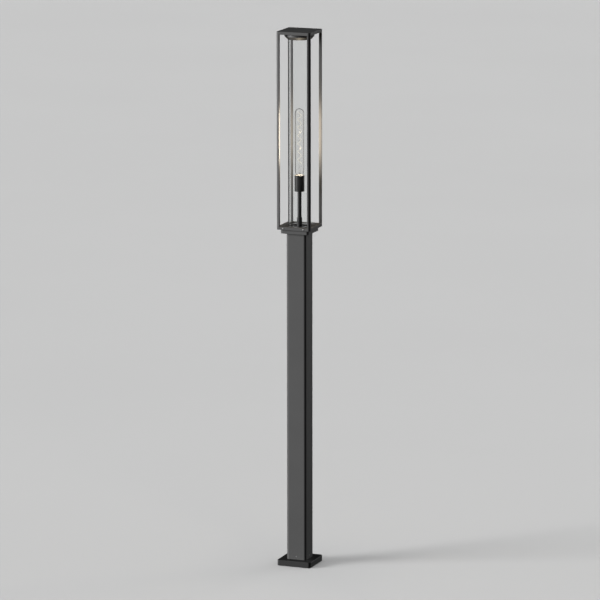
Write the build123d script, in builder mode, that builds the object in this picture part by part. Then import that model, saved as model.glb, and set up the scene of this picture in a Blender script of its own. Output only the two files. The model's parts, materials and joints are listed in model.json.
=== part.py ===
"""Outdoor post lantern: a square post on a ground plate, and an open lantern frame on top of it.

The frame holds a glass cylinder with a tube lamp inside.

Millimetres, +Z up, origin at the centre of the base on the ground. The front is -Y.
"""

import os

from build123d import *

os.makedirs("parts", exist_ok=True)

# ---------------------------------------------------------------- driving dimensions
HEIGHT = 1820.0  # ground to the top of the lantern
SIDE = 120.0  # base cover and lantern frame, outside
CORNER = 8.0  # upright outer corners of cover, post, tray and frame
SLIP = 0.3  # play between pieces that slide into or over each other
SCREW_PLAY = 0.1  # radial play round a screw or a threaded rod
M3, M4, M5 = 3.0, 4.0, 5.0

PLATE_SIDE = 110.0
PLATE_THICK = 6.0
PLATE_CORNER = 6.0
ANCHOR_SPACING = 90.0
ANCHOR_HOLE = 9.0
INLET_HOLE = 40.0
COVER_HEIGHT = 20.0
COVER_WALL = 3.0
COVER_HOLE = 70.8
COVER_SOFT_EDGE = 1.5

POST_SIDE = 70.0
POST_WALL = 3.0
POST_BORE = POST_SIDE - 2 * POST_WALL
SPIGOT_SIDE = POST_BORE - 2 * SLIP
SPIGOT_WALL = 4.0
SPIGOT_BORE = SPIGOT_SIDE - 2 * SPIGOT_WALL
SPIGOT_TOP = 86.0
SPIGOT_CORNER = 4.5
SPIGOT_BORE_CORNER = 2.0
SPIGOT_DIMPLE = 2.2  # depth of the seats that the set screws press into
POST_SCREW_Z = 30.0

TRAY_SIDE = 100.0
TRAY_BOTTOM = 1141.0
FRAME_BOTTOM = 1155.0
BAR = 10.0  # section of the corner bars, height of the bottom ring, thickness of the top plate
RING_WIDTH = 12.0
RING_BORE = SIDE - 2 * RING_WIDTH
RING_TOP = FRAME_BOTTOM + BAR
TRAY_UPPER = RING_BORE - 2 * SLIP
TRAY_TOP = FRAME_BOTTOM + 8.0
TRAY_RIM = 2.0
TRAY_UPPER_CORNER = 4.0
RECESS_CORNER = 2.5
FLOOR_THICK = 2.0
FLOOR_TOP = TRAY_TOP - 2.0
FLOOR_BOTTOM = FLOOR_TOP - FLOOR_THICK
FLOOR_SIDE = TRAY_UPPER - 2 * TRAY_RIM - 0.4
FLOOR_CORNER = 2.3
FLOOR_SCREW_SPACING = 82.0
FLOOR_SCREW_LENGTH = 9.0
POCKET_SIDE = 82.0
POCKET_CORNER = 12.0
POCKET_BOTTOM = TRAY_BOTTOM + 5.0
TRAY_SCREW_SPACING = 44.0
SIDE_SCREW_X = 36.0
LEAD_HOLE = 16.0
INSERT_BOTTOM = TRAY_BOTTOM - 12.0
EARTH_SCREW_X = -24.0
BRACKET_SCREW_X = 21.0

TOP_PLATE_BOTTOM = HEIGHT - BAR
TOP_SOFT_EDGE = 0.8
DISC_RADIUS = 50.0
DISC_BOTTOM = TOP_PLATE_BOTTOM - 19.0
DISC_CONE = 10.2
GLASS_RADIUS = 38.0
GLASS_WALL = 3.0
GLASS_SOFT_EDGE = 1.0
GROOVE_PLAY = 0.6
GROOVE_TOP = DISC_BOTTOM + 10.0
GASKET_THICK = 2.0
GASKET_OVERHANG = 1.5
GLASS_TOP = GROOVE_TOP - 1.0
GLASS_BOTTOM = FLOOR_TOP + GASKET_THICK + SLIP
DISC_SCREW_RADIUS = 22.0

ROD_RADIUS = 5.0
ROD_BORE_RADIUS = 4.0
STEM_RADIUS = 6.7
COLLAR_RADIUS = 8.75
COLLAR_TOP = 1191.0
COLLAR_SOFT_EDGE = 1.2
NUT_FLATS = 14.0
LEAD_Y = 2.5  # the two leads stand this far either side of the axis
LEAD_RADIUS = 1.2
SLEEVE_RADIUS = 16.5
SLEEVE_WALL = 1.2
SLEEVE_BOTTOM = 1279.0
SLEEVE_TOP = 1334.0
SLEEVE_SOFT_EDGE = 1.0
HOLDER_BASE_BOTTOM = 1286.0
HOLDER_BASE_TOP = 1298.0
SHELL_RADIUS = 13.8
SHELL_BORE_RADIUS = 13.3
SHELL_TOP = 1326.0

TIP_BOTTOM = 1302.3
TIP_TOP = TIP_BOTTOM + 1.7
TIP_RADIUS = 5.0
TIP_SOFT_EDGE = 1.2
INSULATOR_FOOT_RADIUS = 6.0
INSULATOR_RADIUS = 11.5
CAP_BOTTOM = TIP_BOTTOM + 7.2
CAP_TOP = 1331.0
CAP_RADIUS = 13.0
CAP_WALL = 0.5
CAP_FLOOR = 1.0
CAP_HOLE_RADIUS = 9.0
CAP_SOFT_EDGE = 1.5
BULB_RADIUS = 15.0
BULB_NECK_RADIUS = 12.2
BULB_GLASS = 0.9
BULB_BOTTOM = 1318.0
BULB_TOP = 1558.0
FILAMENT_RADIUS = 6.2
FILAMENT_BOTTOM = 1370.0
FILAMENT_TOP = 1546.0
PINCH_RADIUS = 2.6
PINCH_TOP = 1358.0


# ---------------------------------------------------------------- helpers
def save(piece, node):
    """Labels one finished piece and writes it as one STEP file."""
    piece.part.label = node
    export_step(piece.part, f"parts/{node}.step")


def side_plane(turn, distance):
    """The upright plane on side number turn (0 front, 1 right), facing outwards, with its Y up."""
    across = Vector(1, 0, 0).rotate(Axis.Z, 90 * turn)
    outwards = Vector(0, -1, 0).rotate(Axis.Z, 90 * turn)
    return Plane(origin=outwards * distance, x_dir=across, z_dir=outwards)


def square(side, corner):
    """A square with rounded corners, in the sketch that is open."""
    RectangleRounded(side, side, corner)


def ring(outer, inner):
    """A flat ring, in the sketch that is open."""
    Circle(outer)
    Circle(inner, mode=Mode.SUBTRACT)


def cap_screw(x, y, seat_z, shank, length, head, head_height, down=True):
    """A cap screw on a seat, in the part that is open. Its shank points down, or up when down is False."""
    way = 1 if down else -1
    with BuildSketch(Plane.XY.offset(seat_z)) as head_outline:
        with Locations((x, y)):
            Circle(head / 2)
    extrude(head_outline.sketch, amount=way * head_height)
    with BuildSketch(Plane.XY.offset(seat_z)) as shank_outline:
        with Locations((x, y)):
            Circle(shank / 2)
    extrude(shank_outline.sketch, amount=-way * length)
    with BuildSketch(Plane.XY.offset(seat_z + way * head_height)) as socket:
        with Locations((x, y)):
            RegularPolygon(shank * 0.36, 6, major_radius=False)
    extrude(socket.sketch, amount=-way * head_height * 0.5, mode=Mode.SUBTRACT)


def corners(spacing):
    """The four corners of a square of this spacing round the axis."""
    half = spacing / 2
    return [(x, y) for x in (-half, half) for y in (-half, half)]


# ---------------------------------------------------------------- ground end
with BuildPart() as anchor_plate:
    with BuildSketch():
        square(PLATE_SIDE, PLATE_CORNER)
        Circle(INLET_HOLE / 2, mode=Mode.SUBTRACT)
        with Locations(*corners(ANCHOR_SPACING)):
            Circle(ANCHOR_HOLE / 2, mode=Mode.SUBTRACT)
    extrude(amount=PLATE_THICK)
save(anchor_plate, "anchor_plate")

with BuildPart() as post_spigot:
    with BuildSketch(Plane.XY.offset(PLATE_THICK)):
        square(SPIGOT_SIDE, SPIGOT_CORNER)
        RectangleRounded(SPIGOT_BORE, SPIGOT_BORE, SPIGOT_BORE_CORNER, mode=Mode.SUBTRACT)
    extrude(amount=SPIGOT_TOP - PLATE_THICK)
    for turn in range(4):
        with BuildSketch(side_plane(turn, SPIGOT_SIDE / 2)):
            with Locations((0, POST_SCREW_Z)):
                Circle(M5 / 2 + SCREW_PLAY)
        extrude(amount=-SPIGOT_DIMPLE, mode=Mode.SUBTRACT)
save(post_spigot, "post_spigot")

SET_SCREW_SINK = 0.1
SET_SCREW_LENGTH = 5.0
SET_SCREW_SOCKET = 2.5  # across the flats, and deep

with BuildPart() as post_fixing_screws:
    for turn in range(4):
        face = side_plane(turn, POST_SIDE / 2 - SET_SCREW_SINK)
        with BuildSketch(face):
            with Locations((0, POST_SCREW_Z)):
                Circle(M5 / 2)
        extrude(amount=-SET_SCREW_LENGTH)
        with BuildSketch(face):
            with Locations((0, POST_SCREW_Z)):
                RegularPolygon(SET_SCREW_SOCKET / 2, 6, major_radius=False)
        extrude(amount=-SET_SCREW_SOCKET, mode=Mode.SUBTRACT)
save(post_fixing_screws, "post_fixing_screws")

with BuildPart() as base_cover:
    with BuildSketch():
        square(SIDE, CORNER)
    extrude(amount=COVER_HEIGHT)
    fillet(base_cover.faces().sort_by(Axis.Z)[-1].edges(), COVER_SOFT_EDGE)
    with BuildSketch():
        square(SIDE - 2 * COVER_WALL, CORNER - COVER_WALL)
    extrude(amount=COVER_HEIGHT - COVER_WALL, mode=Mode.SUBTRACT)
    with BuildSketch():
        square(COVER_HOLE, CORNER + 0.4)
    extrude(amount=COVER_HEIGHT, mode=Mode.SUBTRACT)
save(base_cover, "base_cover")

# ---------------------------------------------------------------- post and its wiring
with BuildPart() as post_tube:
    with BuildSketch(Plane.XY.offset(PLATE_THICK)):
        square(POST_SIDE, CORNER)
        RectangleRounded(POST_BORE, POST_BORE, CORNER - POST_WALL, mode=Mode.SUBTRACT)
    extrude(amount=TRAY_BOTTOM - PLATE_THICK)
    for turn in range(4):
        with BuildSketch(side_plane(turn, POST_SIDE / 2)):
            with Locations((0, POST_SCREW_Z)):
                Circle(M5 / 2 + SCREW_PLAY)
        extrude(amount=-POST_WALL, mode=Mode.SUBTRACT)
save(post_tube, "post_tube")

with BuildPart() as post_top_insert:
    with BuildSketch(Plane.XY.offset(INSERT_BOTTOM)):
        square(POST_BORE - 0.2, CORNER - POST_WALL)
        Circle(LEAD_HOLE / 2, mode=Mode.SUBTRACT)
        with Locations(*corners(TRAY_SCREW_SPACING)):
            Circle(M5 / 2 + SCREW_PLAY, mode=Mode.SUBTRACT)
        with Locations((EARTH_SCREW_X, 0), (BRACKET_SCREW_X, 0)):
            Circle(M4 / 2 + SCREW_PLAY, mode=Mode.SUBTRACT)
    extrude(amount=TRAY_BOTTOM - INSERT_BOTTOM)
save(post_top_insert, "post_top_insert")

BRACKET_THICK = 2.0
BRACKET_X = 10.0
BRACKET_FOOT = 18.0
BRACKET_WIDTH = 16.0
BRACKET_BOTTOM = INSERT_BOTTOM - 42.0

with BuildPart() as terminal_bracket:
    with BuildSketch(Plane.XZ.offset(-BRACKET_WIDTH / 2)):
        with BuildLine():
            Polyline(
                (BRACKET_X, BRACKET_BOTTOM),
                (BRACKET_X + BRACKET_THICK, BRACKET_BOTTOM),
                (BRACKET_X + BRACKET_THICK, INSERT_BOTTOM - BRACKET_THICK),
                (BRACKET_X + BRACKET_FOOT, INSERT_BOTTOM - BRACKET_THICK),
                (BRACKET_X + BRACKET_FOOT, INSERT_BOTTOM),
                (BRACKET_X, INSERT_BOTTOM),
                close=True,
            )
        make_face()
    extrude(amount=BRACKET_WIDTH)
    with BuildSketch(Plane.XY.offset(INSERT_BOTTOM)):
        with Locations((BRACKET_SCREW_X, 0)):
            Circle(M4 / 2 + SCREW_PLAY)
    extrude(amount=-BRACKET_THICK, mode=Mode.SUBTRACT)
save(terminal_bracket, "terminal_bracket")

with BuildPart() as bracket_screw:
    seat = INSERT_BOTTOM - BRACKET_THICK
    cap_screw(BRACKET_SCREW_X, 0, seat, M4, length=12, head=7, head_height=3, down=False)
save(bracket_screw, "bracket_screw")

BLOCK_BOTTOM = BRACKET_BOTTOM + 4.0
BLOCK_TOP = BLOCK_BOTTOM + 22.0
BLOCK_LEFT = -7.0
BLOCK_DEPTH = 14.0
CLAMP_SCREW = 3.2
CLAMP_DEPTH = 4.5
POLES = [(0, -LEAD_Y), (0, LEAD_Y)]
CLAMPS = [(y, z) for _, y in POLES for z in (BLOCK_BOTTOM + 5, BLOCK_TOP - 5)]

with BuildPart() as terminal_block:
    with BuildSketch(Plane.XY.offset(BLOCK_BOTTOM)):
        with Locations(((BLOCK_LEFT + BRACKET_X) / 2, 0)):
            RectangleRounded(BRACKET_X - BLOCK_LEFT, BLOCK_DEPTH, 1)
        with Locations(*POLES):
            Circle(LEAD_RADIUS + SCREW_PLAY, mode=Mode.SUBTRACT)
    extrude(amount=BLOCK_TOP - BLOCK_BOTTOM)
    with BuildSketch(Plane.YZ.offset(BLOCK_LEFT)):
        with Locations(*CLAMPS):
            Circle(CLAMP_SCREW / 2 + SCREW_PLAY)
    extrude(amount=CLAMP_DEPTH, mode=Mode.SUBTRACT)
save(terminal_block, "terminal_block")

with BuildPart() as terminal_screws:
    with BuildSketch(Plane.YZ.offset(BLOCK_LEFT + 0.5)):
        with Locations(*CLAMPS):
            Circle(CLAMP_SCREW / 2)
    extrude(amount=CLAMP_DEPTH - 0.5)
    with BuildSketch(Plane.YZ.offset(BLOCK_LEFT + 0.5)):
        with Locations(*CLAMPS):
            Rectangle(CLAMP_SCREW - 0.6, 0.6)
    extrude(amount=1, mode=Mode.SUBTRACT)
save(terminal_screws, "terminal_screws")

LEAD_IN_BLOCK = 9.0
LEAD_IN_HOLDER = 5.0

for (lead_x, lead_y), node in zip(POLES, ("live_lead", "neutral_lead")):
    with BuildPart() as lead:
        with BuildSketch(Plane.XY.offset(BLOCK_TOP - LEAD_IN_BLOCK)):
            with Locations((lead_x, lead_y)):
                Circle(LEAD_RADIUS)
        extrude(amount=HOLDER_BASE_BOTTOM + LEAD_IN_HOLDER - BLOCK_TOP + LEAD_IN_BLOCK)
    save(lead, node)

# ---------------------------------------------------------------- tray
with BuildPart() as head_tray:
    with BuildSketch(Plane.XY.offset(TRAY_BOTTOM)):
        square(TRAY_SIDE, CORNER)
    extrude(amount=FRAME_BOTTOM - TRAY_BOTTOM)
    with BuildSketch(Plane.XY.offset(FRAME_BOTTOM)):
        square(TRAY_UPPER, TRAY_UPPER_CORNER)
    extrude(amount=TRAY_TOP - FRAME_BOTTOM)
    with BuildSketch(Plane.XY.offset(TRAY_TOP)):
        square(TRAY_UPPER - 2 * TRAY_RIM, RECESS_CORNER)
    extrude(amount=FLOOR_BOTTOM - TRAY_TOP, mode=Mode.SUBTRACT)
    with BuildSketch(Plane.XY.offset(FLOOR_BOTTOM)):
        square(POCKET_SIDE, POCKET_CORNER)
    extrude(amount=POCKET_BOTTOM - FLOOR_BOTTOM, mode=Mode.SUBTRACT)
    with BuildSketch(Plane.XY.offset(POCKET_BOTTOM)):
        Circle(LEAD_HOLE / 2)
        with Locations(*corners(TRAY_SCREW_SPACING)):
            Circle(M5 / 2 + SCREW_PLAY)
        with Locations((EARTH_SCREW_X, 0)):
            Circle(M4 / 2 + SCREW_PLAY)
    extrude(amount=TRAY_BOTTOM - POCKET_BOTTOM, mode=Mode.SUBTRACT)
    with BuildSketch(Plane.XY.offset(FLOOR_BOTTOM)):
        with Locations(*corners(FLOOR_SCREW_SPACING)):
            Circle(M3 / 2 + SCREW_PLAY)
    extrude(amount=-FLOOR_SCREW_LENGTH, mode=Mode.SUBTRACT)
save(head_tray, "head_tray")

with BuildPart() as tray_screws:
    for x, y in corners(TRAY_SCREW_SPACING):
        cap_screw(x, y, POCKET_BOTTOM, M5, length=15, head=8.5, head_height=5)
save(tray_screws, "tray_screws")

with BuildPart() as earth_screw:
    cap_screw(EARTH_SCREW_X, 0, POCKET_BOTTOM, M4, length=12, head=7, head_height=3)
save(earth_screw, "earth_screw")

with BuildPart() as floor_plate:
    with BuildSketch(Plane.XY.offset(FLOOR_BOTTOM)):
        square(FLOOR_SIDE, FLOOR_CORNER)
        Circle(ROD_RADIUS + SCREW_PLAY, mode=Mode.SUBTRACT)
        with Locations(*corners(FLOOR_SCREW_SPACING)):
            Circle(M3 / 2 + SCREW_PLAY, mode=Mode.SUBTRACT)
    extrude(amount=FLOOR_THICK)
save(floor_plate, "floor_plate")

with BuildPart() as floor_screws:
    for x, y in corners(FLOOR_SCREW_SPACING):
        cap_screw(x, y, FLOOR_TOP, M3, FLOOR_SCREW_LENGTH, head=5, head_height=1.4)
save(floor_screws, "floor_screws")

with BuildPart() as lower_glass_gasket:
    with BuildSketch(Plane.XY.offset(FLOOR_TOP)):
        ring(GLASS_RADIUS + GASKET_OVERHANG, GLASS_RADIUS - GLASS_WALL - GASKET_OVERHANG)
    extrude(amount=GASKET_THICK)
save(lower_glass_gasket, "lower_glass_gasket")

# ---------------------------------------------------------------- lantern frame
RING_INNER_CORNER = 4.0
CORNER_HEAD = 6.0
CORNER_SINK = 3.0
CORNER_SCREW_IN_BAR = 12.0
SIDE_HEAD = 6.0
SIDE_HEAD_HEIGHT = 1.2
SIDE_SCREW_SPOTS = [(x, FRAME_BOTTOM + BAR / 2) for x in (-SIDE_SCREW_X, SIDE_SCREW_X)]
FRONT, BACK = 0, 2

with BuildPart() as bottom_ring:
    with BuildSketch(Plane.XY.offset(FRAME_BOTTOM)):
        square(SIDE, CORNER)
        RectangleRounded(RING_BORE, RING_BORE, RING_INNER_CORNER, mode=Mode.SUBTRACT)
        with Locations(*corners(SIDE - BAR)):
            Circle(M4 / 2 + SCREW_PLAY, mode=Mode.SUBTRACT)
    extrude(amount=BAR)
    with BuildSketch(Plane.XY.offset(FRAME_BOTTOM)):
        with Locations(*corners(SIDE - BAR)):
            Circle(CORNER_HEAD / 2 + SCREW_PLAY)
    extrude(amount=CORNER_SINK, mode=Mode.SUBTRACT)
    for turn in (FRONT, BACK):
        with BuildSketch(side_plane(turn, SIDE / 2)):
            with Locations(*SIDE_SCREW_SPOTS):
                Circle(M4 / 2 + SCREW_PLAY)
        extrude(amount=-RING_WIDTH, mode=Mode.SUBTRACT)
save(bottom_ring, "bottom_ring")

BARS = {"front_left": (-1, -1), "front_right": (1, -1), "back_left": (-1, 1), "back_right": (1, 1)}

for place, (side_x, side_y) in BARS.items():
    centre = (side_x * (SIDE - BAR) / 2, side_y * (SIDE - BAR) / 2)
    with BuildPart() as corner_bar:
        with BuildSketch(Plane.XY.offset(RING_TOP)) as section:
            with Locations(centre):
                Rectangle(BAR, BAR)
            outward = Axis((0, 0, 0), (side_x, side_y, 0))
            fillet(section.vertices().sort_by(outward)[-1], CORNER)
        extrude(amount=TOP_PLATE_BOTTOM - RING_TOP)
        with BuildSketch(Plane.XY.offset(RING_TOP)):
            with Locations(centre):
                Circle(M4 / 2 + SCREW_PLAY)
        extrude(amount=CORNER_SCREW_IN_BAR + 2, mode=Mode.SUBTRACT)
    save(corner_bar, f"corner_bar_{place}")

with BuildPart() as corner_screws:
    seat = FRAME_BOTTOM + CORNER_SINK
    length = RING_TOP - seat + CORNER_SCREW_IN_BAR
    for x, y in corners(SIDE - BAR):
        cap_screw(x, y, seat, M4, length, CORNER_HEAD, head_height=2.6, down=False)
save(corner_screws, "corner_screws")

with BuildPart() as side_screws:
    for turn in (FRONT, BACK):
        face = side_plane(turn, SIDE / 2)
        with BuildSketch(face):
            with Locations(*SIDE_SCREW_SPOTS):
                Circle(SIDE_HEAD / 2)
        extrude(amount=SIDE_HEAD_HEIGHT)
        with BuildSketch(face):
            with Locations(*SIDE_SCREW_SPOTS):
                Circle(M4 / 2)
        extrude(amount=-RING_WIDTH)
        with BuildSketch(side_plane(turn, SIDE / 2 + SIDE_HEAD_HEIGHT)):
            with Locations(*SIDE_SCREW_SPOTS):
                RegularPolygon(SET_SCREW_SOCKET / 2, 6, major_radius=False)
        extrude(amount=-2, mode=Mode.SUBTRACT)
save(side_screws, "side_screws")

DISC_SCREW_SINK = 4.0
DISC_SCREW_IN_PLATE = 6.0
DISC_HEAD = 7.0

with BuildPart() as top_plate:
    with BuildSketch(Plane.XY.offset(TOP_PLATE_BOTTOM)):
        square(SIDE, CORNER)
    extrude(amount=BAR)
    fillet(top_plate.faces().sort_by(Axis.Z)[-1].edges(), TOP_SOFT_EDGE)
    with BuildSketch(Plane.XY.offset(TOP_PLATE_BOTTOM)):
        with PolarLocations(DISC_SCREW_RADIUS, 3):
            Circle(M4 / 2 + SCREW_PLAY)
    extrude(amount=DISC_SCREW_IN_PLATE + 1, mode=Mode.SUBTRACT)
save(top_plate, "top_plate")

with BuildPart() as top_disc:
    with BuildSketch(Plane.XY.offset(DISC_BOTTOM)):
        Circle(DISC_RADIUS)
    extrude(amount=TOP_PLATE_BOTTOM - DISC_BOTTOM)
    chamfer(top_disc.edges().group_by(Axis.Z)[0], DISC_CONE)
    with BuildSketch(Plane.XY.offset(DISC_BOTTOM)):
        ring(GLASS_RADIUS + GROOVE_PLAY, GLASS_RADIUS - GLASS_WALL - GROOVE_PLAY)
    extrude(amount=GROOVE_TOP - DISC_BOTTOM, mode=Mode.SUBTRACT)
    with BuildSketch(Plane.XY.offset(DISC_BOTTOM)):
        with PolarLocations(DISC_SCREW_RADIUS, 3):
            Circle(M4 / 2 + SCREW_PLAY)
    extrude(amount=TOP_PLATE_BOTTOM - DISC_BOTTOM, mode=Mode.SUBTRACT)
    with BuildSketch(Plane.XY.offset(DISC_BOTTOM)):
        with PolarLocations(DISC_SCREW_RADIUS, 3):
            Circle(DISC_HEAD / 2 + SCREW_PLAY)
    extrude(amount=DISC_SCREW_SINK, mode=Mode.SUBTRACT)
save(top_disc, "top_disc")

with BuildPart() as disc_screws:
    seat = DISC_BOTTOM + DISC_SCREW_SINK
    length = TOP_PLATE_BOTTOM - seat + DISC_SCREW_IN_PLATE
    for spot in PolarLocations(DISC_SCREW_RADIUS, 3).local_locations:
        x, y = spot.position.X, spot.position.Y
        cap_screw(x, y, seat, M4, length, DISC_HEAD, head_height=3.4, down=False)
save(disc_screws, "disc_screws")

UPPER_OVERHANG = GROOVE_PLAY - 0.1

with BuildPart() as upper_glass_gasket:
    with BuildSketch(Plane.XY.offset(GLASS_TOP)):
        ring(GLASS_RADIUS + UPPER_OVERHANG, GLASS_RADIUS - GLASS_WALL - UPPER_OVERHANG)
    extrude(amount=GROOVE_TOP - GLASS_TOP)
save(upper_glass_gasket, "upper_glass_gasket")

with BuildPart() as glass_cylinder:
    with BuildSketch(Plane.XY.offset(GLASS_BOTTOM)):
        ring(GLASS_RADIUS, GLASS_RADIUS - GLASS_WALL)
    extrude(amount=GLASS_TOP - GLASS_BOTTOM)
    fillet(glass_cylinder.edges().group_by(Axis.Z)[0], GLASS_SOFT_EDGE)
save(glass_cylinder, "glass_cylinder")

# ---------------------------------------------------------------- stem and lamp holder
COLLAR_SCREW_Z = 1176.0
COLLAR_SCREW_SOCKET = 1.5
COLLAR_SCREW_SINK = 0.2
COLLAR_SCREW_LENGTH = COLLAR_RADIUS - STEM_RADIUS - 2 * COLLAR_SCREW_SINK
ROD_BELOW_NUT = 2.0
NUT_HEIGHT = 6.0
UPPER_NUT_HEIGHT = 5.0

with BuildPart() as stem_collar:
    with BuildSketch(Plane.XY.offset(FLOOR_TOP)):
        ring(COLLAR_RADIUS, STEM_RADIUS + SCREW_PLAY)
    extrude(amount=COLLAR_TOP - FLOOR_TOP)
    fillet(stem_collar.edges().group_by(Axis.Z)[-1].sort_by(SortBy.LENGTH)[-1], COLLAR_SOFT_EDGE)
    with BuildSketch(side_plane(BACK, COLLAR_RADIUS + 1)):
        with Locations((0, COLLAR_SCREW_Z)):
            Circle(M3 / 2 + SCREW_PLAY)
    extrude(amount=-COLLAR_RADIUS, mode=Mode.SUBTRACT)
save(stem_collar, "stem_collar")

with BuildPart() as collar_screw:
    with BuildSketch(side_plane(BACK, COLLAR_RADIUS - COLLAR_SCREW_SINK)):
        with Locations((0, COLLAR_SCREW_Z)):
            Circle(M3 / 2)
            RegularPolygon(COLLAR_SCREW_SOCKET / 2, 6, major_radius=False, mode=Mode.SUBTRACT)
    extrude(amount=-COLLAR_SCREW_LENGTH)
save(collar_screw, "collar_screw")

with BuildPart() as stem_tube:
    with BuildSketch(Plane.XY.offset(FLOOR_TOP)):
        ring(STEM_RADIUS, ROD_RADIUS + 2 * SCREW_PLAY)
    extrude(amount=SLEEVE_BOTTOM - FLOOR_TOP)
save(stem_tube, "stem_tube")

with BuildPart() as stem_rod:
    with BuildSketch(Plane.XY.offset(FLOOR_BOTTOM - NUT_HEIGHT - ROD_BELOW_NUT)):
        ring(ROD_RADIUS, ROD_BORE_RADIUS)
    extrude(amount=HOLDER_BASE_BOTTOM - FLOOR_BOTTOM + NUT_HEIGHT + ROD_BELOW_NUT)
save(stem_rod, "stem_rod")

NUTS = {
    "lower_nut": (FLOOR_BOTTOM - NUT_HEIGHT, NUT_HEIGHT),
    "upper_nut": (SLEEVE_BOTTOM + SLEEVE_WALL, UPPER_NUT_HEIGHT),
}

for node, (nut_bottom, nut_height) in NUTS.items():
    with BuildPart() as nut:
        with BuildSketch(Plane.XY.offset(nut_bottom)):
            RegularPolygon(NUT_FLATS / 2, 6, major_radius=False)
            Circle(ROD_RADIUS + SCREW_PLAY, mode=Mode.SUBTRACT)
        extrude(amount=nut_height)
    save(nut, node)

with BuildPart() as holder_sleeve:
    with BuildSketch(Plane.XY.offset(SLEEVE_BOTTOM)):
        Circle(SLEEVE_RADIUS)
    extrude(amount=SLEEVE_TOP - SLEEVE_BOTTOM)
    fillet(holder_sleeve.edges().group_by(Axis.Z)[0], SLEEVE_SOFT_EDGE)
    with BuildSketch(Plane.XY.offset(SLEEVE_BOTTOM + SLEEVE_WALL)):
        Circle(SLEEVE_RADIUS - SLEEVE_WALL)
    extrude(amount=SLEEVE_TOP - SLEEVE_BOTTOM, mode=Mode.SUBTRACT)
    with BuildSketch(Plane.XY.offset(SLEEVE_BOTTOM)):
        Circle(ROD_RADIUS + SCREW_PLAY)
    extrude(amount=SLEEVE_WALL, mode=Mode.SUBTRACT)
save(holder_sleeve, "holder_sleeve")

LINER_RADIUS = SLEEVE_RADIUS - SLEEVE_WALL - 0.2

with BuildPart() as holder_base:
    with BuildSketch(Plane.XY.offset(HOLDER_BASE_BOTTOM)):
        Circle(LINER_RADIUS)
    extrude(amount=HOLDER_BASE_TOP - HOLDER_BASE_BOTTOM)
    with BuildSketch(Plane.XY.offset(HOLDER_BASE_BOTTOM)):
        with Locations(*POLES):
            Circle(LEAD_RADIUS + SCREW_PLAY)
    extrude(amount=LEAD_IN_HOLDER, mode=Mode.SUBTRACT)
save(holder_base, "holder_base")

with BuildPart() as holder_liner:
    with BuildSketch(Plane.XY.offset(HOLDER_BASE_TOP)):
        ring(LINER_RADIUS, SHELL_RADIUS + SCREW_PLAY)
    extrude(amount=SLEEVE_TOP - 2 - HOLDER_BASE_TOP)
save(holder_liner, "holder_liner")

with BuildPart() as holder_shell:
    with BuildSketch(Plane.XY.offset(HOLDER_BASE_TOP)):
        ring(SHELL_RADIUS, SHELL_BORE_RADIUS)
    extrude(amount=SHELL_TOP - HOLDER_BASE_TOP)
save(holder_shell, "holder_shell")

CONTACT_WIDTH = 5.0
CONTACT_THICK = 0.6
CONTACT_RISE = 4.0
CONTACT_END = -8.0
CONTACT_BEND = -4.0
CONTACT_CREST = -1.0
CONTACT_TIP = 3.0

with BuildPart() as centre_contact:
    with BuildSketch(Plane.XZ.offset(-CONTACT_WIDTH / 2)):
        with BuildLine():
            Polyline(
                (CONTACT_END, HOLDER_BASE_TOP),
                (CONTACT_END, HOLDER_BASE_TOP + CONTACT_THICK),
                (CONTACT_BEND, HOLDER_BASE_TOP + CONTACT_THICK),
                (CONTACT_CREST, HOLDER_BASE_TOP + CONTACT_RISE),
                (CONTACT_TIP, HOLDER_BASE_TOP + CONTACT_RISE),
                (CONTACT_TIP, HOLDER_BASE_TOP + CONTACT_RISE - CONTACT_THICK),
                (CONTACT_CREST + CONTACT_THICK / 2, HOLDER_BASE_TOP + CONTACT_RISE - CONTACT_THICK),
                (CONTACT_BEND + CONTACT_THICK / 2, HOLDER_BASE_TOP),
                close=True,
            )
        make_face()
    extrude(amount=CONTACT_WIDTH)
save(centre_contact, "centre_contact")

# ---------------------------------------------------------------- lamp
with BuildPart() as bulb_tip:
    with BuildSketch(Plane.XY.offset(TIP_BOTTOM)):
        Circle(TIP_RADIUS)
    extrude(amount=TIP_TOP - TIP_BOTTOM)
    fillet(bulb_tip.edges().group_by(Axis.Z)[0], TIP_SOFT_EDGE)
save(bulb_tip, "bulb_tip")

with BuildPart() as bulb_insulator:
    with BuildSketch(Plane.XZ):
        with BuildLine():
            Polyline(
                (0, TIP_TOP),
                (INSULATOR_FOOT_RADIUS, TIP_TOP),
                (INSULATOR_RADIUS, CAP_BOTTOM - SLIP),
                (0, CAP_BOTTOM - SLIP),
                close=True,
            )
        make_face()
    revolve(axis=Axis.Z)
save(bulb_insulator, "bulb_insulator")

with BuildPart() as bulb_cap:
    with BuildSketch(Plane.XY.offset(CAP_BOTTOM)):
        Circle(CAP_RADIUS)
    extrude(amount=CAP_TOP - CAP_BOTTOM)
    fillet(bulb_cap.edges().group_by(Axis.Z)[0], CAP_SOFT_EDGE)
    with BuildSketch(Plane.XY.offset(CAP_BOTTOM + CAP_FLOOR)):
        Circle(CAP_RADIUS - CAP_WALL)
    extrude(amount=CAP_TOP - CAP_BOTTOM, mode=Mode.SUBTRACT)
    with BuildSketch(Plane.XY.offset(CAP_BOTTOM)):
        Circle(CAP_HOLE_RADIUS)
    extrude(amount=CAP_FLOOR, mode=Mode.SUBTRACT)
save(bulb_cap, "bulb_cap")

NECK_TOP = 1332.0
SHOULDER = 1352.0
DOME_BASE = BULB_TOP - BULB_RADIUS


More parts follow.
